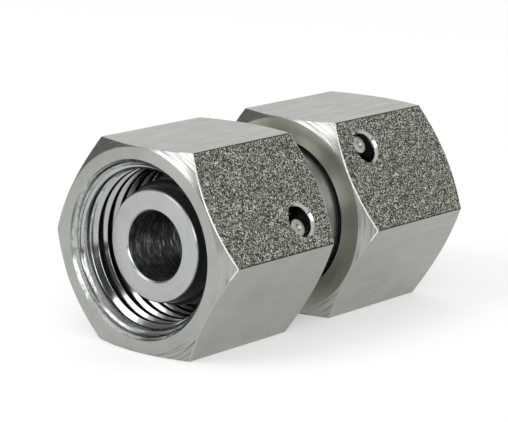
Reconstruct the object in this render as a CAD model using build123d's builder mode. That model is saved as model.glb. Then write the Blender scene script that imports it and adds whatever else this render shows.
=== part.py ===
# Straight swivel coupling for hydraulic tube, 12 mm light series, 24 degree cone.
# A turned body carries a cone nose and an O-ring at each end. Two swivel nuts are
# held on it by round wires that lie half in the body and half in the nut.
#
# Frame: the bore runs along X, the front nut opens towards -X, +Z is up and the nuts
# lie on one flat each. The origin is on the axis, midway between the nuts.
# All lengths are in millimetres and all angles in degrees.
import os
from math import cos, radians, sin, sqrt, tan

from build123d import *

# Swivel nuts
across_flats = 22.0
nut_length = 18.1
nut_gap = 5.4  # length of body in view between the two nuts
face_step = 0.15  # the turned end faces stop this far inside the flats
face_chamfer_angle = 33.0  # slope of the turned corners, measured from the end face

# Thread in each nut's mouth, M18 x 1.5, cut at its minor diameter
thread_wall = 2.0  # metal between the thread's outside and the middle of a flat
thread_pitch = 1.5
thread_depth = 10.4  # from the nut's end face to the plain bore behind the thread
mouth_flare = 0.6  # the countersink opens this far beyond the thread's outer radius
mouth_angle = 90.0

# Body
neck_room = 0.09  # radial room for the neck to pass through the nut's thread
nut_clearance = 0.4  # radial room between the body's neck and the nut's plain bore
land_wall = 0.9  # metal left between the wire groove and the shoulder
shoulder_height = 0.83  # step from the neck down to the cone's plain part
bore_wall = 1.45  # metal left between the flow bore and the O-ring groove
rim_chamfer = 0.2

# Cone noses
nose_setback = 2.55  # from the nut's end face back to the nose
nose_edge = 0.15
cone_angle = 24.0
cone_land = 2.07  # plain part between the shoulder and the cone

# O-rings
o_ring_section = 1.5
o_ring_setback = 2.5  # from the nose to the middle of the ring
o_ring_proud = 0.15  # the ring stands this far out of the cone
o_ring_side_room = 0.25

# Retaining wires and the holes that they are fed through
wire_diameter = 2.0
wire_setback = 4.8  # from the nut's inner face to the middle of the wire
wire_clearance = 0.05  # running clearance between the wire and the body's groove
wire_end_gap = 30.0  # left open between the wire's two ends
tail_start_angle = -33.0  # where the wire leaves its groove, from the drilled flat's middle
tail_bend_radius = 2.0
tail_sink = 0.75  # the tail ends this far below the flat
tail_side_room = 0.1  # between the tail and the near side of its hole
feed_hole_room = 0.65  # radial room round the wire in its feed hole
feed_hole_edge = 0.28

# Sizes of the nuts that follow from those above
flat_radius = across_flats / 2
corner_radius = flat_radius / cos(radians(30))
face_radius = flat_radius - face_step
thread_radius = flat_radius - thread_wall
thread_height = thread_pitch * sqrt(3) / 2
thread_engagement = thread_height * 5 / 8
thread_minor_radius = thread_radius - thread_engagement
mouth_radius = thread_radius + mouth_flare
plain_bore_length = nut_length - thread_depth

# The neck passes through the thread, and the plain bore runs round the neck
neck_radius = thread_minor_radius - neck_room
nut_bore_radius = neck_radius + nut_clearance

# Each wire lies half in the body and half in the nut
wire_radius = wire_diameter / 2
wire_ring_radius = (neck_radius + nut_bore_radius) / 2
wire_x = nut_gap / 2 + wire_setback
wire_groove_radius = wire_radius + wire_clearance

# Each nose tapers from its shoulder, and the bore keeps clear of the O-ring groove
cone_slope = tan(radians(cone_angle / 2))
shoulder_x = wire_x + wire_groove_radius + land_wall
shoulder_foot_x = shoulder_x + shoulder_height
cone_base_x = shoulder_foot_x + cone_land
cone_base_radius = neck_radius - shoulder_height
nose_x = nut_gap / 2 + nut_length - nose_setback
nose_radius = cone_base_radius - cone_slope * (nose_x - nose_edge - cone_base_x)

o_ring_x = nose_x - o_ring_setback
o_ring_cone_radius = nose_radius + cone_slope * (o_ring_setback - nose_edge)
o_ring_floor_radius = o_ring_cone_radius + o_ring_proud - o_ring_section
o_ring_groove_width = o_ring_section + 2 * o_ring_side_room
bore_radius = o_ring_floor_radius - bore_wall

# The wire's tail, seen along the bore, turns up square to the drilled flat: height is
# measured along the flat's normal and offset along the flat. The tail stands at one
# side of its hole.
wire_wrap = 360 - wire_end_gap
tail_turn = 90 + tail_start_angle
bend_centre_radius = wire_ring_radius + tail_bend_radius
bend_centre_height = bend_centre_radius * cos(radians(tail_start_angle))
bend_centre_offset = bend_centre_radius * sin(radians(tail_start_angle))
tail_length = flat_radius - tail_sink - bend_centre_height
tail_offset = bend_centre_offset + tail_bend_radius
feed_hole_radius = wire_radius + feed_hole_room
feed_hole_offset = tail_offset + feed_hole_room - tail_side_room

# Each end is built outwards from the nut's inner face: the plane's Z points out of the
# nut's mouth, and the flat with the wire hole lies half a side, 30 degrees, round from
# the plane's X. The rear nut is the front one turned end for end, then rolled by one flat.
drilled_flat_angle = 30.0
front_end = Plane(origin=(-nut_gap / 2, 0, 0), x_dir=(0, -1, 0), z_dir=(-1, 0, 0))
rear_end = Plane(
    origin=(nut_gap / 2, 0, 0),
    x_dir=(0, -cos(radians(60)), sin(radians(60))),
    z_dir=(1, 0, 0),
)


def turning_plane(end):
    """The plane for turned sections at one end: X is the radius and Y the way outwards."""
    return Plane(origin=end.origin, x_dir=end.x_dir, z_dir=-end.y_dir)


def drilled_flat_plane(end):
    """The end's plane turned so that X is the drilled flat's outward normal."""
    normal = end.x_dir.rotate(Axis((0, 0, 0), end.z_dir), drilled_flat_angle)
    return Plane(origin=end.origin, x_dir=normal, z_dir=end.z_dir)


def make_body():
    """One turned piece: a plain neck between two shoulders, lands and cone noses."""
    with BuildPart() as body:
        with BuildSketch(Plane.XZ):
            with BuildLine():
                Polyline(
                    (0, 0),
                    (0, neck_radius),
                    (shoulder_x, neck_radius),
                    (shoulder_foot_x, cone_base_radius),
                    (cone_base_x, cone_base_radius),
                    (nose_x - nose_edge, nose_radius),
                    (nose_x, nose_radius - nose_edge),
                    (nose_x, 0),
                    close=True,
                )
            make_face()
            mirror(about=Plane.YZ)
        revolve(axis=Axis.X)

        # Round-bottomed grooves for the wires
        with BuildSketch(Plane.XZ):
            with Locations((-wire_x, wire_ring_radius), (wire_x, wire_ring_radius)):
                Circle(wire_groove_radius)
        revolve(axis=Axis.X, mode=Mode.SUBTRACT)

        # Square grooves for the O-rings
        with BuildSketch(Plane.XZ):
            with Locations((-o_ring_x, o_ring_floor_radius), (o_ring_x, o_ring_floor_radius)):
                Rectangle(o_ring_groove_width, nose_radius, align=(Align.CENTER, Align.MIN))
        revolve(axis=Axis.X, mode=Mode.SUBTRACT)

        # The flow bore, with its rims broken
        with Locations(Plane.YZ.offset(nose_x)):
            Hole(bore_radius)
        bore_rims = body.edges(Select.LAST).filter_by(GeomType.CIRCLE)
        chamfer(bore_rims, length=rim_chamfer)
    return body


def make_nut(end):
    """A hexagon bar, turned at both ends, threaded from its mouth and drilled for the wire."""
    with BuildPart() as nut:
        with BuildSketch(end):
            RegularPolygon(radius=flat_radius, side_count=6, major_radius=False)
        extrude(amount=nut_length)

        # The lathe takes the six corners off at each end
        turned_radius = corner_radius + face_step
        turned_run = (turned_radius - face_radius) * tan(radians(face_chamfer_angle))
        with BuildSketch(turning_plane(end)):
            with BuildLine():
                Polyline(
                    (0, 0),
                    (face_radius, 0),
                    (turned_radius, turned_run),
                    (turned_radius, nut_length - turned_run),
                    (face_radius, nut_length),
                    (0, nut_length),
                    close=True,
                )
            make_face()
        revolve(axis=Axis(end.origin, end.z_dir), mode=Mode.INTERSECT)

        # Threaded mouth from the outer face, plain bore from the inner face
        with Locations(end.offset(nut_length)):
            CounterSinkHole(thread_minor_radius, mouth_radius, thread_depth, mouth_angle)
        with Locations(Plane(origin=end.origin, x_dir=end.x_dir, z_dir=-end.z_dir)):
            Hole(nut_bore_radius, depth=plain_bore_length)

        # Square groove that takes the outer half of the wire
        with BuildSketch(turning_plane(end)):
            with Locations((0, wire_setback)):
                Rectangle(
                    wire_ring_radius + wire_radius,
                    2 * wire_groove_radius,
                    align=(Align.MIN, Align.CENTER),
                )
        revolve(axis=Axis(end.origin, end.z_dir), mode=Mode.SUBTRACT)

        # The wire is fed in through a hole in one flat
        flat = drilled_flat_plane(end)
        hole_centre = flat.from_local_coords((flat_radius, feed_hole_offset, wire_setback))
        with Locations(Plane(origin=hole_centre, x_dir=end.z_dir, z_dir=flat.x_dir)):
            CounterSinkHole(
                feed_hole_radius,
                feed_hole_radius + feed_hole_edge,
                flat_radius,
                mouth_angle,
            )
    return nut


def make_retaining_wire(end):
    """A round wire that lies in its groove most of the way round and turns up into the hole."""
    ring_plane = drilled_flat_plane(end).offset(wire_setback)
    with BuildPart() as wire:
        with BuildLine(ring_plane) as route:
            CenterArc((0, 0), wire_ring_radius, tail_start_angle - wire_wrap, wire_wrap)
            bend = CenterArc(
                (bend_centre_height, bend_centre_offset),
                tail_bend_radius,
                tail_start_angle + 180,
                -tail_turn,
            )
            PolarLine(bend @ 1, tail_length, direction=bend % 1)
        with BuildSketch(route.wire() ^ 0):
            Circle(wire_radius)
        sweep()
    return wire


def make_o_ring(end_sign):
    """A round-section ring, stretched over the floor of its groove."""
    with BuildPart() as o_ring:
        with BuildSketch(Plane.XZ):
            with Locations((end_sign * o_ring_x, o_ring_floor_radius + o_ring_section / 2)):
                Circle(o_ring_section / 2)
        revolve(axis=Axis.X)
    return o_ring


def export_piece(piece, name):
    piece.part.label = name
    export_step(piece.part, f"parts/{name}.step")


os.makedirs("parts", exist_ok=True)
export_piece(make_body(), "body")
for end_name, end, end_sign in (("front", front_end, -1), ("rear", rear_end, 1)):
    export_piece(make_nut(end), f"{end_name}_nut")
    export_piece(make_retaining_wire(end), f"{end_name}_retaining_wire")
    export_piece(make_o_ring(end_sign), f"{end_name}_o_ring")
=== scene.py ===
import math

import bmesh
import bpy
from bpy.props import FloatProperty, FloatVectorProperty, PointerProperty
from bpy.types import Operator, Panel, PropertyGroup
from mathutils import Matrix, Vector


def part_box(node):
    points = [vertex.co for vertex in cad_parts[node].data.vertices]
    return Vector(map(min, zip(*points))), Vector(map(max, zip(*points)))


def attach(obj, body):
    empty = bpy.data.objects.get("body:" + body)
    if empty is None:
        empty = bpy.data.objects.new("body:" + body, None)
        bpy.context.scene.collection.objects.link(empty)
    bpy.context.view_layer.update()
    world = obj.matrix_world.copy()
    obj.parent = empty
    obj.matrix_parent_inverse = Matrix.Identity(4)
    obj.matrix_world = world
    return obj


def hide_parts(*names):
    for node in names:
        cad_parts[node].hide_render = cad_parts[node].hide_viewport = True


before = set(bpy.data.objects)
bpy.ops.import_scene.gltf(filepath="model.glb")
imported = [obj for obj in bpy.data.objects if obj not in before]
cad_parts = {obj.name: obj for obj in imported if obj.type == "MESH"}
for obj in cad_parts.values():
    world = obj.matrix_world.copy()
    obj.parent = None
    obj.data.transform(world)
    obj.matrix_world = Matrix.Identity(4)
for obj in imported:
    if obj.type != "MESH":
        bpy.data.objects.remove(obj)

bl_info = {
    "name": "Straight Swivel Coupling",
    "version": (1, 0, 0),
    "blender": (4, 5, 0),
    "location": "View3D > Sidebar > Coupling",
    "description": "Builds the visible pieces, finishes and stage of a straight hydraulic swivel coupling",
    "category": "Object",
}

# Pieces are shaped in millimetres, where the mesh tools are at their best, and are
# brought to metres when they are finished.
MM = 1000.0
SPARE = 1.0  # how far a cutting tool stands clear of what it cuts, in millimetres
TRIES = 5  # how often a torn cut is made again
SHARP = math.radians(28)  # edges that turn by more than this stay sharp

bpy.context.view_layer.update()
nut_low, nut_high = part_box("rear_nut")
body_low, body_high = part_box("body")
wire_low, wire_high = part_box("rear_retaining_wire")

# Each end's nut and wire are shaped opening along +X with the drilled flat on +Y, and
# then placed. The front end is the rear one turned end for end and rolled by one flat.
DRILLED_FLAT = math.radians(30)  # the drilled flat faces the -Y side, this far above level
flat_normal = Vector((0, -math.cos(DRILLED_FLAT), math.sin(DRILLED_FLAT)))


def end_placing(side):
    outward = Vector((side, 0, 0))
    columns = (outward, flat_normal, outward.cross(flat_normal))
    turn = Matrix(columns).transposed().to_4x4()
    return Matrix.Translation(outward * nut_low.x * MM) @ turn


# Sizes and colours -------------------------------------------------------------------
class NutSizes(PropertyGroup):
    across_flats: FloatProperty(
        name="Across Flats", description="Width of the hexagon over two flats",
        default=nut_high.z - nut_low.z, unit="LENGTH")
    length: FloatProperty(
        name="Length", description="Length of one nut",
        default=nut_high.x - nut_low.x, unit="LENGTH")
    face_step: FloatProperty(
        name="Face Step", description="How far the turned end faces stop inside the flats",
        default=0.00015, unit="LENGTH")
    face_chamfer: FloatProperty(
        name="Face Chamfer", description="Slope of the turned corners from the end face",
        default=math.radians(33), subtype="ANGLE")
    edge_break: FloatProperty(
        name="Edge Break", description="Width of the broken edges round each flat",
        default=0.00016, unit="LENGTH")
    thread_diameter: FloatProperty(
        name="Thread Diameter", description="Outer diameter of the thread",
        default=0.018, unit="LENGTH")
    thread_pitch: FloatProperty(
        name="Thread Pitch", description="Distance from one thread ridge to the next",
        default=0.0015, unit="LENGTH")
    thread_depth: FloatProperty(
        name="Thread Depth", description="From the nut's mouth to the end of the thread",
        default=0.0104, unit="LENGTH")
    mouth_flare: FloatProperty(
        name="Mouth Flare", description="How far the countersink opens beyond the thread",
        default=0.0006, unit="LENGTH")
    plain_bore: FloatProperty(
        name="Plain Bore", description="Radius of the bore that runs on the body's neck",
        default=0.008498, unit="LENGTH")
    groove_floor: FloatProperty(
        name="Groove Floor", description="Radius of the floor of the wire's groove",
        default=0.009298, unit="LENGTH")
    groove_width: FloatProperty(
        name="Groove Width", description="Width of the wire's groove",
        default=0.0021, unit="LENGTH")
    wire_setback: FloatProperty(
        name="Wire Setback", description="From the nut's inner face to the wire's middle",
        default=0.0048, unit="LENGTH")
    feed_hole: FloatProperty(
        name="Feed Hole", description="Diameter of the hole that the wire is fed through",
        default=0.0033, unit="LENGTH")
    feed_hole_edge: FloatProperty(
        name="Feed Hole Edge", description="Chamfer round the feed hole",
        default=0.00028, unit="LENGTH")
    feed_hole_offset: FloatProperty(
        name="Feed Hole Offset", description="From the middle of the drilled flat to the hole",
        default=-0.003059, unit="LENGTH")


class BodySizes(PropertyGroup):
    neck_radius: FloatProperty(
        name="Neck Radius", description="Radius of the neck between the nuts",
        default=body_high.z, unit="LENGTH")
    half_length: FloatProperty(
        name="Half Length", description="From the middle to the face of each nose",
        default=body_high.x, unit="LENGTH")
    bore_radius: FloatProperty(
        name="Bore Radius", description="Radius of the bore that the oil flows through",
        default=0.003746, unit="LENGTH")
    nose_radius: FloatProperty(
        name="Nose Radius", description="Radius of the nose at its face",
        default=0.006046, unit="LENGTH")
    cone_radius: FloatProperty(
        name="Cone Radius", description="Radius at the foot of the cone",
        default=0.007268, unit="LENGTH")
    cone_foot: FloatProperty(
        name="Cone Foot", description="From the middle to the foot of the cone",
        default=0.01235, unit="LENGTH")
    shoulder: FloatProperty(
        name="Shoulder", description="From the middle to the edge of the shoulder",
        default=0.00945, unit="LENGTH")
    wire_groove: FloatProperty(
        name="Wire Groove", description="Radius of the round groove for the wire",
        default=0.00105, unit="LENGTH")
    seal_place: FloatProperty(
        name="Seal Place", description="From the middle of the coupling to the O-ring",
        default=0.01575, unit="LENGTH")
    seal_floor: FloatProperty(
        name="Seal Floor", description="Radius of the floor of the O-ring's groove",
        default=0.005196, unit="LENGTH")
    seal_width: FloatProperty(
        name="Seal Width", description="Width of the O-ring's groove",
        default=0.002, unit="LENGTH")


class WireSizes(PropertyGroup):
    diameter: FloatProperty(
        name="Wire Diameter", description="Diameter of the retaining wire",
        default=wire_high.x - wire_low.x, unit="LENGTH")
    ring_radius: FloatProperty(
        name="Ring Radius", description="Radius of the circle that the wire's middle lies on",
        default=0.008298, unit="LENGTH")
    end_gap: FloatProperty(
        name="End Gap", description="Angle left open between the wire's two ends",
        default=math.radians(30), subtype="ANGLE")
    tail_start: FloatProperty(
        name="Tail Start", description="Where the wire leaves its groove, from the drilled flat",
        default=math.radians(-33), subtype="ANGLE")
    bend_radius: FloatProperty(
        name="Bend Radius", description="Radius of the bend into the feed hole",
        default=0.002, unit="LENGTH")
    tail_sink: FloatProperty(
        name="Tail Sink", description="How far below the flat the wire's tail ends",
        default=0.00075, unit="LENGTH")


class FinishColours(PropertyGroup):
    plated: FloatVectorProperty(
        name="Plated Steel", description="Zinc plating on the smooth flats",
        default=(0.375, 0.377, 0.35), size=3, subtype="COLOR", min=0, max=1)
    turned: FloatVectorProperty(
        name="Turned Steel", description="Zinc plating on turned faces",
        default=(0.37, 0.38, 0.355), size=3, subtype="COLOR", min=0, max=1)
    thread: FloatVectorProperty(
        name="Thread", description="Zinc plating in the thread",
        default=(0.4, 0.425, 0.41), size=3, subtype="COLOR", min=0, max=1)
    nose: FloatVectorProperty(
        name="Nose", description="Clean turned steel of the body",
        default=(0.42, 0.435, 0.435), size=3, subtype="COLOR", min=0, max=1)
    # Painted shade: near-black that stands for the shade in the rough flats' pits and along the drilled
    # flat's long edges, not a colour of the plating
    pit_shade: FloatVectorProperty(
        name="Pit Shade", description="Painted shade in the pits and along the long edges of the rough flats",
        default=(0.03, 0.031, 0.024), size=3, subtype="COLOR", min=0, max=1)
    grain: FloatVectorProperty(
        name="Grain", description="Bright grains of the rough flats",
        default=(0.62, 0.62, 0.55), size=3, subtype="COLOR", min=0, max=1)
    # Painted highlight: the same turned plating, made brighter for the band of light on the faces that look
    # at each other
    inner: FloatVectorProperty(
        name="Inner Face", description="Zinc plating on the faces that look at each other, lightened by a painted highlight",
        default=(0.44, 0.45, 0.38), size=3, subtype="COLOR", min=0, max=1)
    # Painted highlight: near-white colour for the lamp's glint on the broken edges at the ends of the drilled
    # flat
    edge_highlight: FloatVectorProperty(
        name="Edge Highlight", description="Painted highlight on the broken edges",
        default=(0.84, 0.85, 0.84), size=3, subtype="COLOR", min=0, max=1)
    # Painted shade: the cones lie deep in the nuts where little light reaches, and this dark colour stands
    # for that shade
    cone: FloatVectorProperty(
        name="Cone", description="Painted shade on the cones behind the noses, deep in the nuts",
        default=(0.1, 0.106, 0.104), size=3, subtype="COLOR", min=0, max=1)
    wire: FloatVectorProperty(
        name="Wire", description="Drawn spring wire",
        default=(0.45, 0.44, 0.4), size=3, subtype="COLOR", min=0, max=1)
    rubber: FloatVectorProperty(
        name="Rubber", description="Black nitrile rubber of the seals",
        default=(0.012, 0.012, 0.012), size=3, subtype="COLOR", min=0, max=1)


class StageSettings(PropertyGroup):
    azimuth: FloatProperty(
        name="Azimuth", description="Direction of the camera, from straight in front",
        default=-0.884, subtype="ANGLE")
    elevation: FloatProperty(
        name="Elevation", description="Height of the camera above the horizon",
        default=0.225, subtype="ANGLE")
    roll: FloatProperty(
        name="Roll", description="Turn of the camera about its line of sight",
        default=0.022, subtype="ANGLE")
    distance: FloatProperty(
        name="Distance", description="From the camera to the point that it looks at",
        default=0.2601, unit="LENGTH")
    lens: FloatProperty(
        name="Lens", description="Focal length in millimetres on a 36 mm sensor",
        default=168.35)
    aim: FloatVectorProperty(
        name="Aim", description="The point that the camera looks at",
        default=(-0.00188, 0.0, 0.00112), size=3, subtype="TRANSLATION")
    floor: FloatVectorProperty(
        name="Floor Colour", description="Colour of the floor",
        default=(0.8, 0.8, 0.8), size=3, subtype="COLOR", min=0, max=1)


# Shaping -----------------------------------------------------------------------------
def place_object(name, bm):
    """Makes an object of a bmesh at the origin."""
    mesh = bpy.data.meshes.new(name)
    bm.to_mesh(mesh)
    bm.free()
    piece = bpy.data.objects.new(name, mesh)
    bpy.context.scene.collection.objects.link(piece)
    return piece


def discard(piece):
    mesh = piece.data
    bpy.data.objects.remove(piece)
    bpy.data.meshes.remove(mesh)


def draw_profile(bm, corners, closed=False):
    """Joins (x, radius) or (x, radius, rounding) corners into a run of edges."""
    verts = [bm.verts.new((corner[0], 0, corner[1])) for corner in corners]
    for pair in zip(verts, verts[1:]):
        bm.edges.new(pair)
    if closed:
        bm.edges.new((verts[-1], verts[0]))
    rounded = {}
    for vert, corner in zip(verts, corners):
        if len(corner) > 2:
            rounded.setdefault(corner[2], []).append(vert)
    for rounding, group in rounded.items():
        bmesh.ops.bevel(
            bm, geom=group, offset=rounding, offset_type="OFFSET", segments=3,
            profile=0.5, affect="VERTICES", material=-1)


def turn_on_lathe(name, corners, closed=False, steps=192):
    """A solid of revolution about the X axis, from its half section."""
    bm = bmesh.new()
    draw_profile(bm, corners, closed)
    bmesh.ops.spin(
        bm, geom=bm.verts[:] + bm.edges[:], cent=(0, 0, 0), axis=(1, 0, 0),
        angle=math.tau, steps=steps, use_merge=True, use_duplicate=False)
    bmesh.ops.remove_doubles(bm, verts=bm.verts, dist=1e-4)
    bmesh.ops.recalc_face_normals(bm, faces=bm.faces)
    return place_object(name, bm)


def is_closed(mesh):
    bm = bmesh.new()
    bm.from_mesh(mesh)
    closed = bool(bm.faces) and all(edge.is_manifold for edge in bm.edges)
    bm.free()
    return closed


def combine(target, tool, operation="DIFFERENCE"):
    """Cuts target with tool, or keeps what both share, and throws the tool away."""
    step = target.modifiers.new("Shape", "BOOLEAN")
    step.operation = operation
    step.solver = "EXACT"
    step.object = tool
    # Once in a while a cut comes out torn, and then the same cut made again is whole
    for attempt in range(TRIES):
        target.update_tag()
        bpy.context.view_layer.update()
        graph = bpy.context.evaluated_depsgraph_get()
        shaped = bpy.data.meshes.new_from_object(target.evaluated_get(graph))
        if is_closed(shaped):
            break
        bpy.data.meshes.remove(shaped)
    else:
        raise RuntimeError(f"{target.name} could not be shaped with {tool.name}")
    target.modifiers.clear()
    blank = target.data
    target.data = shaped
    bpy.data.meshes.remove(blank)
    discard(tool)


def wear_finish(piece, finishes, index=0):
    """Gives a piece its list of finishes, every face wearing the one at index."""
    piece.data.materials.clear()
    for finish in finishes:
        piece.data.materials.append(finish)
    for face in piece.data.polygons:
        face.material_index = index


def finish_piece(piece, name, body, slot, *nodes):
    """Brings a shaped piece to metres, smooths its curved faces and ties it to the frame."""
    mesh = piece.data
    piece.name = name
    mesh.name = name
    mesh.transform(Matrix.Scale(1 / MM, 4))
    mesh.shade_smooth()
    bm = bmesh.new()
    bm.from_mesh(mesh)
    for edge in bm.edges:
        if len(edge.link_faces) == 2:
            kinds = {face.material_index for face in edge.link_faces}
            edge.smooth = len(kinds) == 1 and edge.calc_face_angle() < SHARP
    bm.to_mesh(mesh)
    bm.free()
    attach(piece, body)
    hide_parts(*nodes)


# Finishes ----------------------------------------------------------------------------
class Finish:
    """A node material with short ways to add the textures that metal finishes need."""

    def __init__(self, name, colour, metallic=1.0, roughness=0.3):
        self.material = bpy.data.materials.new(name)
        self.material.use_nodes = True
        self.tree = self.material.node_tree
        self.shader = self.tree.nodes["Principled BSDF"]
        self.shader.inputs["Base Color"].default_value = (*colour, 1)
        self.shader.inputs["Metallic"].default_value = metallic
        self.shader.inputs["Roughness"].default_value = roughness
        self.place = self.node("ShaderNodeTexCoord").outputs["Object"]

    def node(self, kind, **settings):
        made = self.tree.nodes.new(kind)
        for key, value in settings.items():
            setattr(made, key, value)
        return made

    def fill(self, socket, value):
        """Sets a socket to a number or colour, or joins it to another node."""
        if isinstance(value, bpy.types.NodeSocket):
            self.tree.links.new(value, socket)
        elif isinstance(value, tuple) and len(value) == 3 and socket.type == "RGBA":
            socket.default_value = (*value, 1)
        else:
            socket.default_value = value

    def math(self, operation, first, second=0.0):
        made = self.node("ShaderNodeMath", operation=operation)
        self.fill(made.inputs[0], first)
        self.fill(made.inputs[1], second)
        return made.outputs[0]

    def noise(self, scale, detail=3.0, roughness=0.5, stretch=None, distortion=0.0, place=None):
        place = place or self.place
        if stretch:
            mapping = self.node("ShaderNodeMapping")
            self.fill(mapping.inputs["Scale"], stretch)
            self.fill(mapping.inputs["Vector"], place)
            place = mapping.outputs["Vector"]
        made = self.node("ShaderNodeTexNoise")
        self.fill(made.inputs["Vector"], place)
        self.fill(made.inputs["Scale"], scale)
        self.fill(made.inputs["Detail"], detail)
        self.fill(made.inputs["Roughness"], roughness)
        self.fill(made.inputs["Distortion"], distortion)
        return made.outputs["Fac"]

    def lathe_noise(self, along_scale, radius_scale, round_scale, detail=2.0):
        """Noise drawn out round the X axis, as a turning tool leaves it."""
        split = self.node("ShaderNodeSeparateXYZ")
        self.fill(split.inputs[0], self.place)
        across, up = split.outputs["Y"], split.outputs["Z"]
        radius = self.math("SQRT", self.math(
            "ADD", self.math("MULTIPLY", across, across), self.math("MULTIPLY", up, up)))
        feed = self.math(
            "ADD", self.math("MULTIPLY", split.outputs["X"], along_scale),
            self.math("MULTIPLY", radius, radius_scale))
        joined = self.node("ShaderNodeCombineXYZ")
        self.fill(joined.inputs["X"], feed)
        for axis, part in (("Y", across), ("Z", up)):
            turned = self.math("MULTIPLY", self.math("DIVIDE", part, radius), round_scale)
            self.fill(joined.inputs[axis], turned)
        return self.noise(1.0, detail=detail, place=joined.outputs[0])

    def brush_round(self, amount):
        """Stretches highlights across the rings that turning leaves round the X axis."""
        split = self.node("ShaderNodeSeparateXYZ")
        self.fill(split.inputs[0], self.place)
        joined = self.node("ShaderNodeCombineXYZ")
        self.fill(joined.inputs["Y"], self.math("MULTIPLY", split.outputs["Z"], -1.0))
        self.fill(joined.inputs["Z"], split.outputs["Y"])
        turned = self.node(
            "ShaderNodeVectorTransform",
            vector_type="VECTOR", convert_from="OBJECT", convert_to="WORLD")
        self.fill(turned.inputs[0], joined.outputs[0])
        self.fill(self.shader.inputs["Tangent"], turned.outputs[0])
        self.fill(self.shader.inputs["Anisotropic"], amount)
        self.fill(self.shader.inputs["Anisotropic Rotation"], 0.25)

    def ramp(self, source, *stops):
        """Maps a grey value through (position, colour) stops."""
        made = self.node("ShaderNodeValToRGB")
        elements = made.color_ramp.elements
        while len(elements) < len(stops):
            elements.new(0.5)
        for element, (position, colour) in zip(elements, stops):
            element.position = position
            element.color = (*colour, 1)
        self.fill(made.inputs["Fac"], source)
        return made.outputs["Color"]

    def span(self, source, low, high, new_low, new_high):
        made = self.node("ShaderNodeMapRange")
        self.fill(made.inputs["Value"], source)
        limits = {"From Min": low, "From Max": high, "To Min": new_low, "To Max": new_high}
        for name, value in limits.items():
            self.fill(made.inputs[name], value)
        return made.outputs["Result"]

    def blend(self, share, first, second, kind="MIX"):
        made = self.node("ShaderNodeMix", data_type="RGBA", blend_type=kind)
        self.fill(made.inputs[0], share)
        self.fill(made.inputs[6], first)
        self.fill(made.inputs[7], second)
        return made.outputs[2]

    def bump(self, height, distance, strength=1.0, under=None):
        made = self.node("ShaderNodeBump")
        self.fill(made.inputs["Strength"], strength)
        self.fill(made.inputs["Distance"], distance)
        self.fill(made.inputs["Height"], height)
        if under:
            self.fill(made.inputs["Normal"], under)
        return made.outputs["Normal"]

    def wear(self, colour, roughness, normal):
        self.fill(self.shader.inputs["Base Color"], colour)
        self.fill(self.shader.inputs["Roughness"], roughness)
        self.fill(self.shader.inputs["Normal"], normal)
        return self.material


def scaled(colour, amount):
    return tuple(channel * amount for channel in colour)


def make_smooth_flat_finish(colours):
    """Rolled and plated bar: faint clouds, a few short scuffs along the bar."""
    finish = Finish("smooth flat", colours.plated)
    clouds = finish.noise(260, detail=4, roughness=0.6)
    tint = finish.blend(
        finish.span(clouds, 0.3, 0.7, 0, 1), scaled(colours.plated, 0.93), scaled(colours.plated, 1.06))
    scuffs = finish.noise(1400, stretch=(0.15, 1, 1))
    rough = finish.span(scuffs, 0.3, 0.7, 0.27, 0.4)
    swell = finish.bump(clouds, 0.00004, 0.5)
    return finish.wear(tint, rough, finish.bump(finish.noise(5200), 0.000006, 0.5, swell))


def make_rough_flat_finish(colours):
    """The blank's scaled skin, plated over: bright grains and worm-like pits, with painted shade in the pits.
    """
    finish = Finish("rough flat", colours.grain)
    hills = finish.noise(2100, detail=1, roughness=0.4, distortion=0.6)
    worms = finish.math("SINE", finish.math("MULTIPLY", hills, math.tau * 4.6))
    specks = finish.noise(7000, detail=1)
    mixed = finish.math("ADD", finish.math("MULTIPLY", worms, 0.13), specks)
    # The darkest stop is painted shade in the pits; the other stops are the skin's grain
    grey = finish.ramp(
        mixed, (0.38, colours.pit_shade), (0.5, scaled(colours.grain, 0.17)),
        (0.57, scaled(colours.grain, 0.36)), (0.7, colours.grain))
    tone = finish.span(finish.noise(900), 0.4, 0.62, 0, 0.3)
    tinted = finish.blend(tone, grey, (0.62, 0.7, 0.46), "MULTIPLY")
    swell = finish.bump(mixed, 0.0001, 0.5)
    return finish.wear(
        tinted, finish.span(specks, 0.3, 0.7, 0.3, 0.5), finish.bump(specks, 0.00003, 0.4, swell))


def make_turned_finish(name, colour, rough_low, rough_high, depth, brushed=0.0):
    """A lathe-turned and plated face, with rings round the axis."""
    finish = Finish(name, colour)
    if brushed:
        finish.brush_round(brushed)
    rings = finish.lathe_noise(9000, 9000, 0.8)
    clouds = finish.noise(400)
    tint = finish.blend(finish.span(clouds, 0.3, 0.7, 0, 1), scaled(colour, 0.94), scaled(colour, 1.05))
    return finish.wear(
        tint, finish.span(rings, 0.3, 0.7, rough_low, rough_high), finish.bump(rings, depth, 0.6))


def make_corner_finish(colours):
    """The turned corners, streaked where the tool tore and rubbed."""
    finish = Finish("turned corner", colours.turned)
    finish.brush_round(0.6)
    streaks = finish.lathe_noise(3600, 3600, 2.5, detail=3)
    rings = finish.lathe_noise(9000, 9000, 0.8)
    tint = finish.ramp(
        streaks, (0.34, scaled(colours.turned, 0.55)), (0.46, scaled(colours.turned, 0.98)),
        (0.6, scaled(colours.turned, 1.04)))
    swell = finish.bump(streaks, 0.00002, 0.5)
    return finish.wear(
        tint, finish.span(streaks, 0.35, 0.65, 0.42, 0.24), finish.bump(rings, 0.00001, 0.6, swell))


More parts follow.
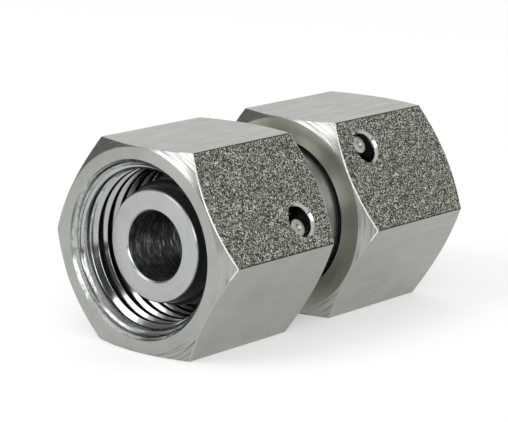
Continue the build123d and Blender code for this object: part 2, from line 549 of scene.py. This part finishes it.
def make_mouth_finish(colours):
    """The countersink, ringed by its cutter and scuffed by mates going in and out."""
    finish = Finish("worn mouth", colours.thread)
    rings = finish.lathe_noise(7000, 2500, 1.2, detail=3)
    scuffs = finish.noise(3200, detail=3, stretch=(1, 0.5, 0.5))
    grey = finish.ramp(
        rings, (0.36, scaled(colours.thread, 0.35)), (0.46, scaled(colours.thread, 0.95)),
        (0.7, scaled(colours.thread, 1.15)))
    dirt = finish.span(scuffs, 0.5, 0.62, 0, 0.5)
    dirty = finish.blend(dirt, grey, scaled(colours.plated, 0.5))
    return finish.wear(
        dirty, finish.span(scuffs, 0.35, 0.65, 0.1, 0.28), finish.bump(rings, 0.00002, 0.6))


def make_bore_finish(colours):
    """The drilled bore, with irregular marks round it, whose brightest lines are painted glints."""
    finish = Finish("drilled bore", colours.nose)
    marks = finish.lathe_noise(3400, 600, 3.5, detail=3)
    # The two brightest stops, up to near white, are painted glints on the marks
    grey = finish.ramp(
        marks, (0.35, scaled(colours.nose, 0.4)), (0.52, scaled(colours.nose, 0.75)),
        (0.6, scaled(colours.nose, 1.5)), (0.68, (1.0, 1.0, 0.96)))
    return finish.wear(grey, finish.span(marks, 0.3, 0.7, 0.42, 0.26), finish.bump(marks, 0.00016, 0.9))


def make_wire_finish(colours):
    """Drawn wire, with fine lines and a dull patch here and there."""
    finish = Finish("spring wire", colours.wire)
    dull = finish.noise(1500)
    share = finish.span(dull, 0.35, 0.65, 0, 1)
    tint = finish.blend(share, scaled(colours.wire, 0.7), scaled(colours.wire, 1))
    return finish.wear(
        tint, finish.span(dull, 0.3, 0.7, 0.25, 0.42), finish.bump(finish.noise(6000), 0.00001, 0.5))


def make_rubber_finish(colours):
    """Moulded black rubber, a little dusty."""
    finish = Finish("seal rubber", colours.rubber, metallic=0)
    dust = finish.noise(1200, detail=4)
    tint = finish.blend(
        finish.span(dust, 0.45, 0.75, 0, 0.5), scaled(colours.rubber, 1), scaled(colours.rubber, 2.2))
    return finish.wear(
        tint, finish.span(dust, 0.3, 0.7, 0.42, 0.6), finish.bump(finish.noise(4000), 0.00001, 0.6))


# The finishes of a nut, in the order of its material slots
FLAT, ROUGH, TURNED, INNER, CORNER, EDGE, PAINTED_HIGHLIGHT_EDGE, PAINTED_SHADE_EDGE, THREAD, MOUTH = range(10)


def nut_finishes(colours):
    return [
        make_smooth_flat_finish(colours),
        make_rough_flat_finish(colours),
        make_turned_finish("turned face", colours.turned, 0.28, 0.4, 0.00001, brushed=0.7),
        # A lit copy of the turned face, for a painted highlight
        make_turned_finish("inner face", colours.inner, 0.3, 0.42, 0.00001, brushed=0.8),
        make_corner_finish(colours),
        make_turned_finish("broken edge", colours.nose, 0.12, 0.2, 0.000004),
        # Painted highlight on the broken edges at the ends of the drilled flat
        make_turned_finish("painted highlight edge", colours.edge_highlight, 0.14, 0.24, 0.00001),
        # Painted shade along the long edges of the drilled flat
        make_turned_finish("painted shade edge", colours.pit_shade, 0.4, 0.6, 0.00002),
        make_turned_finish("thread", colours.thread, 0.1, 0.18, 0.000006),
        make_mouth_finish(colours),
    ]


# Nuts --------------------------------------------------------------------------------
# Puts what was made along X, and round it, along Y
X_TO_Y = Matrix(((0, 0, 1, 0), (1, 0, 0, 0), (0, 1, 0, 0), (0, 0, 0, 1)))


def make_blank(sizes, finishes):
    """Hexagon bar with its corners turned off at both ends and its edges broken."""
    flat = sizes.across_flats * MM / 2
    length = sizes.length * MM
    corner = flat / math.cos(math.radians(30))
    step = sizes.face_step * MM
    bm = bmesh.new()
    # The circle's first corner is on its +Y, which this puts on +Z, with a flat on +Y
    bmesh.ops.create_circle(bm, cap_ends=True, segments=6, radius=corner, matrix=X_TO_Y)
    grown = bmesh.ops.extrude_face_region(bm, geom=bm.faces[:])
    moved = [item for item in grown["geom"] if isinstance(item, bmesh.types.BMVert)]
    bmesh.ops.translate(bm, verts=moved, vec=(length + 2 * SPARE, 0, 0))
    bmesh.ops.translate(bm, verts=bm.verts, vec=(-SPARE, 0, 0))
    bmesh.ops.recalc_face_normals(bm, faces=bm.faces)
    bar = place_object("bar", bm)
    wear_finish(bar, finishes, FLAT)

    reach = corner + step
    run = (reach - flat + step) * math.tan(sizes.face_chamfer)
    envelope = turn_on_lathe("envelope", [
        (0, 0), (0, flat - step, 0.05), (run, reach), (length - run, reach),
        (length, flat - step, 0.05), (length, 0),
    ])
    wear_finish(envelope, finishes, TURNED)
    combine(bar, envelope, "INTERSECT")

    bm = bmesh.new()
    bm.from_mesh(bar.data)
    bmesh.ops.remove_doubles(bm, verts=bm.verts, dist=1e-3)
    for face in bm.faces:
        if face.material_index == FLAT and face.normal.y > 0.9:
            face.material_index = ROUGH
        elif face.material_index == TURNED and abs(face.normal.x) < 0.99:
            face.material_index = CORNER
        elif face.material_index == TURNED and face.normal.x < 0:
            face.material_index = INNER
    sharp = [
        edge for edge in bm.edges
        if edge.calc_face_angle() > math.radians(10)
        and any(face.material_index in (FLAT, ROUGH) for face in edge.link_faces)
    ]
    made = bmesh.ops.bevel(
        bm, geom=sharp, offset=sizes.edge_break * MM / 2, offset_type="OFFSET", segments=2,
        profile=0.5, affect="EDGES", material=-1, clamp_overlap=True)
    # Round the drilled flat the broken edges carry painted light: a painted highlight at its ends and painted
    # shade along its long sides
    for face in made["faces"]:
        middle = face.calc_center_median()
        at_end = min(middle.x, length - middle.x) < run
        round_rough = middle.y > flat * 0.9
        if at_end:
            face.material_index = PAINTED_HIGHLIGHT_EDGE if round_rough else EDGE
        else:
            face.material_index = PAINTED_SHADE_EDGE if round_rough else EDGE
    bm.to_mesh(bar.data)
    bm.free()
    return bar


def make_tap(sizes, finishes):
    """The thread's shape as a solid rod, right-handed, cut off square at both ends."""
    pitch = sizes.thread_pitch * MM
    outer = sizes.thread_diameter * MM / 2
    height = 0.72  # of the ridges, which a drill a little over the core size leaves blunt
    inner = outer - height
    flank = height * math.tan(math.radians(30))
    ridge = 0.5
    steps_per_turn = 108
    mouth = sizes.length * MM
    foot = mouth - sizes.thread_depth * MM
    turns = math.ceil((mouth - foot) / pitch) + 3
    start = foot - 1.5 * pitch
    bm = bmesh.new()
    draw_profile(bm, [
        (start, inner), (start + ridge, inner, 0.07), (start + ridge + flank, outer, 0.05),
        (start + pitch - flank, outer, 0.05), (start + pitch, inner),
    ])
    bmesh.ops.spin(
        bm, geom=bm.verts[:] + bm.edges[:], cent=(0, 0, 0), axis=(1, 0, 0),
        dvec=(pitch / steps_per_turn, 0, 0), angle=math.tau * turns,
        steps=steps_per_turn * turns, use_duplicate=False)
    bmesh.ops.remove_doubles(bm, verts=bm.verts, dist=1e-3)
    for place, side in ((foot, -1), (mouth + pitch, 1)):
        cut = bmesh.ops.bisect_plane(
            bm, geom=bm.verts[:] + bm.edges[:] + bm.faces[:], dist=1e-6,
            plane_co=(place, 0, 0), plane_no=(side, 0, 0), clear_outer=True)
        rim = [item for item in cut["geom_cut"] if isinstance(item, bmesh.types.BMEdge)]
        bmesh.ops.edgeloop_fill(bm, edges=rim)
    bmesh.ops.recalc_face_normals(bm, faces=bm.faces)
    tap = place_object("tap", bm)
    wear_finish(tap, finishes, THREAD)
    return tap


def make_countersink(sizes, finishes):
    """Two short cones, each with a narrow land behind it, which lead the mate in."""
    length = sizes.length * MM
    thread = sizes.thread_diameter * MM / 2
    mouth = thread + sizes.mouth_flare * MM
    # Depth from the nut's face and radius of each corner, with how far it is rounded
    foot = 2.0
    steps = (
        (0.3, mouth - 0.3, 0.05), (0.66, thread + 0.12), (0.7, thread + 0.2), (0.75, thread + 0.1),
        (1.1, thread - 0.22, 0.08), (1.5, thread - 0.42, 0.05), (1.82, thread - 0.46, 0.05),
    )
    tool = turn_on_lathe("countersink", [
        (length + SPARE, 0), (length + SPARE, mouth + SPARE),
        *((length - depth, *corner) for depth, *corner in steps), (length - foot - thread, 0),
    ])
    wear_finish(tool, finishes, MOUTH)
    return tool


def make_boring_bar(sizes, finishes):
    """The plain bore behind the thread, with the square groove for the wire."""
    bore = sizes.plain_bore * MM
    floor = sizes.groove_floor * MM
    half = sizes.groove_width * MM / 2
    place = sizes.wire_setback * MM
    end = (sizes.length - sizes.thread_depth) * MM
    edge = 0.12
    tool = turn_on_lathe("boring bar", [
        (-SPARE, 0), (-SPARE, bore + edge + SPARE), (edge, bore), (place - half, bore), (place - half, floor),
        (place + half, floor), (place + half, bore), (end, bore), (end + bore, 0),
    ])
    wear_finish(tool, finishes, TURNED)
    return tool


def make_drill(sizes, finishes):
    """The feed hole, square to the drilled flat, with its chamfer."""
    radius = sizes.feed_hole * MM / 2
    edge = sizes.feed_hole_edge * MM
    flat = sizes.across_flats * MM / 2
    tool = turn_on_lathe("drill", [
        (0, 0), (0, radius), (flat - edge, radius, 0.05),
        (flat + SPARE, radius + edge + SPARE), (flat + SPARE, 0),
    ], steps=72)
    wear_finish(tool, finishes, EDGE)
    place = Matrix.Translation((sizes.wire_setback * MM, 0, sizes.feed_hole_offset * MM))
    tool.data.transform(place @ X_TO_Y)
    return tool


class COUPLING_OT_make_nuts(Operator):
    """Makes both swivel nuts with their threads, wire grooves and feed holes"""
    bl_idname = "coupling.make_nuts"
    bl_label = "Make Nuts"

    def execute(self, context):
        sizes = context.scene.coupling_nut
        finishes = nut_finishes(context.scene.coupling_finish)
        rear = make_blank(sizes, finishes)
        for make_tool in (make_tap, make_countersink, make_boring_bar, make_drill):
            combine(rear, make_tool(sizes, finishes))
        front = bpy.data.objects.new("nut", rear.data.copy())
        context.scene.collection.objects.link(front)
        for nut, end, side in ((front, "front", -1), (rear, "rear", 1)):
            nut.data.transform(end_placing(side))
            finish_piece(nut, f"{end}_hex_nut", f"{end}_swivel", "plated_nut", f"{end}_nut")
        return {"FINISHED"}


# Body --------------------------------------------------------------------------------
def make_round_groover(place, ring, radius):
    """The round groove for a wire, as a ring to cut away."""
    bm = bmesh.new()
    bmesh.ops.create_circle(
        bm, segments=32, radius=radius,
        matrix=Matrix.Translation((place, 0, ring)) @ Matrix.Rotation(math.pi / 2, 4, "X"))
    bmesh.ops.spin(
        bm, geom=bm.verts[:] + bm.edges[:], cent=(0, 0, 0), axis=(1, 0, 0),
        angle=math.tau, steps=192, use_merge=True, use_duplicate=False)
    bmesh.ops.recalc_face_normals(bm, faces=bm.faces)
    return place_object("groover", bm)


class COUPLING_OT_make_body(Operator):
    """Turns the body with its neck, shoulders, cone noses, grooves and bore"""
    bl_idname = "coupling.make_body"
    bl_label = "Make Body"

    def execute(self, context):
        sizes = context.scene.coupling_body
        colours = context.scene.coupling_finish
        finishes = [
            make_turned_finish("turned body", colours.nose, 0.22, 0.36, 0.00001, brushed=0.6),
            make_bore_finish(colours),
            # The cone finish is painted shade for the cones deep inside the nuts
            make_turned_finish("cone in painted shade", colours.cone, 0.3, 0.45, 0.00001),
        ]
        body = turn_on_lathe("body", self.section(sizes), closed=True)
        wear_finish(body, finishes)
        for face in body.data.polygons:
            if math.hypot(face.center.y, face.center.z) < sizes.bore_radius * MM:
                face.material_index = 1
            elif sizes.shoulder * MM < abs(face.center.x) < sizes.half_length * MM - 0.2:
                face.material_index = 2
        wire_place = (nut_low.x + context.scene.coupling_nut.wire_setback) * MM
        for side in (-1, 1):
            groover = make_round_groover(
                side * wire_place, context.scene.coupling_wire.ring_radius * MM, sizes.wire_groove * MM)
            wear_finish(groover, finishes)
            combine(body, groover)
        finish_piece(body, "turned_body", "coupling_body", "turned_steel", "body")
        return {"FINISHED"}

    def section(self, sizes):
        """The closed half section of the body, from nose to nose."""
        neck = sizes.neck_radius * MM
        face = sizes.half_length * MM
        nose = sizes.nose_radius * MM
        foot_radius = sizes.cone_radius * MM
        foot = sizes.cone_foot * MM
        bore = sizes.bore_radius * MM
        shoulder = sizes.shoulder * MM
        floor = sizes.seal_floor * MM
        lip = 0.15
        rim = 0.2
        slope = (foot_radius - nose) / (face - lip - foot)
        near = (sizes.seal_place - sizes.seal_width / 2) * MM
        far = (sizes.seal_place + sizes.seal_width / 2) * MM
        half = [
            (shoulder, neck, 0.08), (shoulder + neck - foot_radius, foot_radius, 0.1),
            (foot, foot_radius, 0.3), (near, foot_radius - slope * (near - foot), 0.06),
            (near, floor, 0.1), (far, floor, 0.1), (far, foot_radius - slope * (far - foot), 0.06),
            (face - lip, nose, 0.06), (face, nose - lip, 0.04), (face, bore + rim, 0.04),
            (face - rim, bore, 0.04),
        ]
        return [(-corner[0], *corner[1:]) for corner in reversed(half)] + half


# Retaining wires ---------------------------------------------------------------------
class COUPLING_OT_make_wires(Operator):
    """Bends both retaining wires with their tails turned up into the feed holes"""
    bl_idname = "coupling.make_wires"
    bl_label = "Make Retaining Wires"

    def execute(self, context):
        finishes = [make_wire_finish(context.scene.coupling_finish)]
        for end, side in (("front", -1), ("rear", 1)):
            wire = self.bend_wire(context.scene.coupling_wire, context.scene.coupling_nut)
            wear_finish(wire, finishes)
            wire.data.transform(end_placing(side))
            finish_piece(
                wire, f"{end}_spring_wire", f"{end}_swivel", "spring_wire", f"{end}_retaining_wire")
        return {"FINISHED"}

    def bend_wire(self, sizes, nut):
        radius = sizes.diameter * MM / 2
        ring = sizes.ring_radius * MM
        bend = sizes.bend_radius * MM
        wrap = math.tau - sizes.end_gap
        to_groove = Matrix.Translation((nut.wire_setback * MM, 0, 0))
        leave = Matrix.Rotation(sizes.tail_start, 4, "X")
        start = Matrix.Rotation(sizes.tail_start - wrap, 4, "X")
        bend_centre = to_groove @ leave @ Vector((0, ring + bend, 0))
        top = (nut.across_flats / 2 - sizes.tail_sink) * MM
        bm = bmesh.new()
        bmesh.ops.create_circle(
            bm, segments=32, radius=radius,
            matrix=to_groove @ start @ Matrix.Translation((0, ring, 0)))
        turned = bmesh.ops.spin(
            bm, geom=bm.verts[:] + bm.edges[:], cent=(0, 0, 0), axis=(1, 0, 0),
            angle=wrap, steps=132, use_duplicate=False)
        turned = bmesh.ops.spin(
            bm, geom=turned["geom_last"], cent=bend_centre, axis=(1, 0, 0),
            angle=-(math.pi / 2 + sizes.tail_start), steps=14, use_duplicate=False)
        grown = bmesh.ops.extrude_edge_only(
            bm, edges=[item for item in turned["geom_last"] if isinstance(item, bmesh.types.BMEdge)])
        bmesh.ops.translate(
            bm, vec=(0, top - bend_centre.y, 0),
            verts=[item for item in grown["geom"] if isinstance(item, bmesh.types.BMVert)])
        # Close both ends, round their edges and leave the cutter's dimple in them
        filled = bmesh.ops.edgeloop_fill(bm, edges=[edge for edge in bm.edges if edge.is_boundary])
        bmesh.ops.recalc_face_normals(bm, faces=bm.faces)
        rims = list({edge for cap in filled["faces"] for edge in cap.edges})
        end_rounding = 0.16
        dimple_margin = 0.42
        dimple_depth = 0.22
        bmesh.ops.bevel(
            bm, geom=rims, offset=end_rounding, offset_type="OFFSET", segments=3, profile=0.5,
            affect="EDGES", material=-1)
        caps = [face for face in bm.faces if len(face.verts) > 8]
        bmesh.ops.inset_individual(bm, faces=caps, thickness=dimple_margin, depth=0)
        bmesh.ops.inset_individual(bm, faces=caps, thickness=0.2, depth=-dimple_depth)
        return place_object("wire", bm)


# O-rings -----------------------------------------------------------------------------
class COUPLING_OT_dress_seals(Operator):
    """Gives both O-rings their rubber"""
    bl_idname = "coupling.dress_seals"
    bl_label = "Dress O-Rings"

    def execute(self, context):
        rubber = make_rubber_finish(context.scene.coupling_finish)
        for node in ("front_o_ring", "rear_o_ring"):
            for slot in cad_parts[node].material_slots:
                slot.material = rubber
        return {"FINISHED"}


# Stage -------------------------------------------------------------------------------
# Lamps and cards stand at a bearing: azimuth, elevation, distance in metres, and the
# width and height that they span as the coupling sees them, in degrees
LAMPS = (
    ("left lamp", (-108, 36, 0.5, 27, 32), 2.7),
    ("front lamp", (-47, 24, 0.6, 26, 36), 2.5),
)
CARDS = (
    ("card behind", (-168, 18, 0.35, 60, 50), 0.2),
    ("card under the camera", (-56, -1, 0.4, 60, 14), 0.0),
    ("card between the lamps", (-74, 22, 0.4, 28, 30), 0.08),
)


FLOOR_GLOW = 0.35  # lifts the floor to white for the eye and for reflections alone
WORLD_LIGHT = 0.68  # how strongly the white surroundings light the coupling


def seen_only(tree, *rays):
    """1 for the named kinds of ray and 0 for the rest."""
    path = tree.nodes.new("ShaderNodeLightPath")
    seen = path.outputs[rays[0]]
    for ray in rays[1:]:
        joined = tree.nodes.new("ShaderNodeMath")
        joined.operation = "MAXIMUM"
        tree.links.new(seen, joined.inputs[0])
        tree.links.new(path.outputs[ray], joined.inputs[1])
        seen = joined.outputs[0]
    return seen


def studio_place(azimuth, elevation, distance, width, height):
    """Where a card of side 1 stands at a bearing, facing the coupling, and the size it needs."""
    azimuth, elevation = math.radians(azimuth), math.radians(elevation)
    level = math.cos(elevation)
    towards = Vector((math.sin(azimuth) * level, -math.cos(azimuth) * level, math.sin(elevation)))
    size = [2 * distance * math.tan(math.radians(span) / 2) for span in (width, height)]
    turn = towards.to_track_quat("Z", "Y").to_matrix().to_4x4()
    return Matrix.Translation(towards * distance) @ turn, size


def add_lamp(name, bearing, brightness):
    """A soft lamp that shines on the coupling, as bright in reflections as is asked."""
    lamp = bpy.data.lights.new(name, "AREA")
    lamp.shape = "RECTANGLE"
    holder = bpy.data.objects.new(name, lamp)
    holder.matrix_world, (lamp.size, lamp.size_y) = studio_place(*bearing)
    lamp.energy = brightness * lamp.size * lamp.size_y * math.pi
    bpy.context.scene.collection.objects.link(holder)


def hang_card(name, bearing, brightness):
    """A grey card that only reflections see."""
    place, size = studio_place(*bearing)
    bm = bmesh.new()
    bmesh.ops.create_grid(
        bm, x_segments=1, y_segments=1, size=0.5, matrix=place @ Matrix.Diagonal((*size, 1, 1)))
    card = place_object(name, bm)
    material = bpy.data.materials.new(name)
    material.use_nodes = True
    paint = material.node_tree.nodes["Principled BSDF"]
    paint.inputs["Base Color"].default_value = (0, 0, 0, 1)
    paint.inputs["Roughness"].default_value = 1
    paint.inputs["Emission Color"].default_value = (1, 1, 1, 1)
    paint.inputs["Emission Strength"].default_value = brightness
    card.data.materials.append(material)
    card.visible_camera = False
    card.visible_diffuse = False
    card.visible_shadow = False
    card.visible_transmission = False


class COUPLING_OT_set_stage(Operator):
    """Lays the floor, sets the lamps and the white surroundings, and places the camera"""
    bl_idname = "coupling.set_stage"
    bl_label = "Set Stage"

    def execute(self, context):
        stage = context.scene.coupling_stage
        self.place_camera(context.scene, stage)
        self.lay_floor(stage)
        self.light_world(context.scene)
        for name, bearing, brightness in LAMPS:
            add_lamp(name, bearing, brightness)
        for name, bearing, brightness in CARDS:
            hang_card(name, bearing, brightness)
        context.scene.view_settings.view_transform = "Standard"
        return {"FINISHED"}

    def place_camera(self, scene, stage):
        level = math.cos(stage.elevation)
        back = Vector((
            math.sin(stage.azimuth) * level, -math.cos(stage.azimuth) * level, math.sin(stage.elevation)))
        lens = bpy.data.cameras.new("camera")
        lens.lens = stage.lens
        lens.clip_start = 0.001
        camera = bpy.data.objects.new("camera", lens)
        turn = back.to_track_quat("Z", "Y").to_matrix() @ Matrix.Rotation(stage.roll, 3, "Z")
        camera.matrix_world = (
            Matrix.Translation(Vector(stage.aim) + back * stage.distance) @ turn.to_4x4())
        scene.collection.objects.link(camera)
        scene.camera = camera

    def lay_floor(self, stage):
        bm = bmesh.new()
        bmesh.ops.create_grid(
            bm, x_segments=1, y_segments=1, size=3.0, matrix=Matrix.Translation((0, 0, nut_low.z)))
        floor = place_object("floor", bm)
        material = bpy.data.materials.new("studio floor")
        material.use_nodes = True
        tree = material.node_tree
        paint = tree.nodes["Principled BSDF"]
        paint.inputs["Base Color"].default_value = (*stage.floor, 1)
        paint.inputs["Roughness"].default_value = 0.9
        paint.inputs["Emission Color"].default_value = (1, 1, 1, 1)
        strength = tree.nodes.new("ShaderNodeMath")
        strength.operation = "MULTIPLY"
        strength.inputs[1].default_value = FLOOR_GLOW
        tree.links.new(
            seen_only(tree, "Is Camera Ray", "Is Glossy Ray", "Is Transmission Ray"), strength.inputs[0])
        tree.links.new(strength.outputs[0], paint.inputs["Emission Strength"])
        floor.data.materials.append(material)

    def light_world(self, scene):
        world = bpy.data.worlds.new("white surroundings")
        world.use_nodes = True
        tree = world.node_tree
        background = tree.nodes["Background"]
        background.inputs["Color"].default_value = (1, 1, 1, 1)
        strength = tree.nodes.new("ShaderNodeMapRange")
        strength.inputs["To Min"].default_value = WORLD_LIGHT
        strength.inputs["To Max"].default_value = 1.0
        tree.links.new(
            seen_only(tree, "Is Camera Ray", "Is Glossy Ray", "Is Transmission Ray"),
            strength.inputs["Value"])
        tree.links.new(strength.outputs["Result"], background.inputs["Strength"])
        scene.world = world


class COUPLING_PT_panel(Panel):
    """Lists the coupling's pieces in the order that they are made"""
    bl_label = "Swivel Coupling"
    bl_idname = "COUPLING_PT_panel"
    bl_space_type = "VIEW_3D"
    bl_region_type = "UI"
    bl_category = "Coupling"

    def draw(self, context):
        for operator in OPERATORS:
            self.layout.operator(operator.bl_idname)
        for settings, kind in SETTINGS.items():
            group = getattr(context.scene, settings)
            box = self.layout.box()
            for name in kind.__annotations__:
                box.prop(group, name)


SETTINGS = {
    "coupling_nut": NutSizes,
    "coupling_body": BodySizes,
    "coupling_wire": WireSizes,
    "coupling_finish": FinishColours,
    "coupling_stage": StageSettings,
}
OPERATORS = (
    COUPLING_OT_make_nuts,
    COUPLING_OT_make_body,
    COUPLING_OT_make_wires,
    COUPLING_OT_dress_seals,
    COUPLING_OT_set_stage,
)


def register():
    for cls in (*SETTINGS.values(), *OPERATORS, COUPLING_PT_panel):
        bpy.utils.register_class(cls)
    for settings, kind in SETTINGS.items():
        setattr(bpy.types.Scene, settings, PointerProperty(type=kind))


def unregister():
    for settings in SETTINGS:
        delattr(bpy.types.Scene, settings)
    for cls in (COUPLING_PT_panel, *reversed(OPERATORS), *SETTINGS.values()):
        bpy.utils.unregister_class(cls)


def main():
    register()
    bpy.ops.coupling.make_nuts()
    bpy.ops.coupling.make_body()
    bpy.ops.coupling.make_wires()
    bpy.ops.coupling.dress_seals()
    bpy.ops.coupling.set_stage()


if __name__ == "__main__":
    main()
